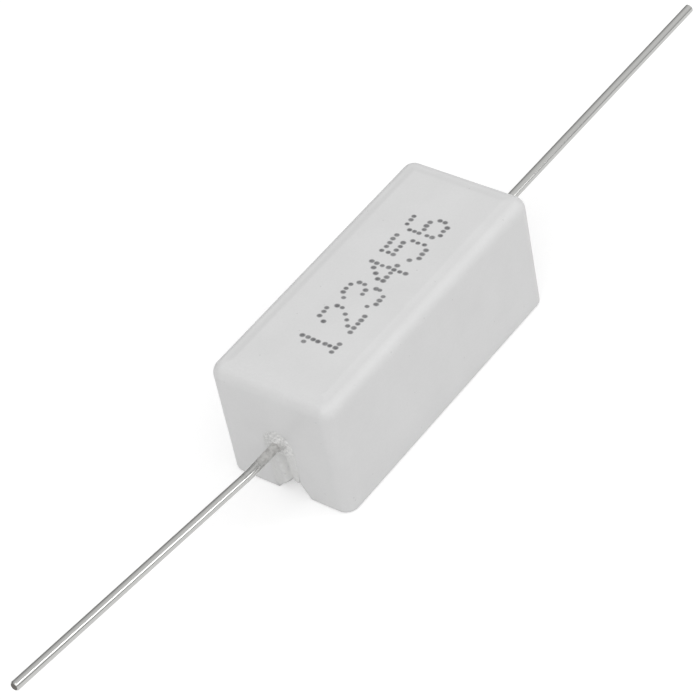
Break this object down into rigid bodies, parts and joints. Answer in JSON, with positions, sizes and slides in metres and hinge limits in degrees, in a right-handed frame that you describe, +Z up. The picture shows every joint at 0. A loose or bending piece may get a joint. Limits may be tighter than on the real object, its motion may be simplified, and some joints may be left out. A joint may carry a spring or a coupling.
{
  "type": "axial resistor",
  "caption": "Power resistor potted with cement in a white pressed-ceramic case, with a tinned wire lead leaving a notch in each end wall.",
  "frame": {"origin": "middle of the case's open rim, on the plane that it stands on and under the middle of the cement", "axes": "+X along the leads, from the bent lead to the straight one; +Y across the case; +Z up to the printed face"},
  "size_m": [0.0727, 0.0094, 0.009],
  "materials": {
    "case_ceramic": "matt, dry-pressed and fired",
    "potting_cement": "matt, fine-grained",
    "rod_ceramic": "ground",
    "oxide_film": "satin",
    "cap_steel": "plated, satin",
    "tinned_wire": "tinned, drawn along its length"
  },
  "bodies": {
    "root": {"ceramic_case": "case_ceramic", "cement_filler": "potting_cement", "core_rod": "rod_ceramic", "resistive_film": "oxide_film", "near_end_cap": "cap_steel", "far_end_cap": "cap_steel", "near_lead": "tinned_wire", "far_lead": "tinned_wire"}
  },
  "joints": []
}
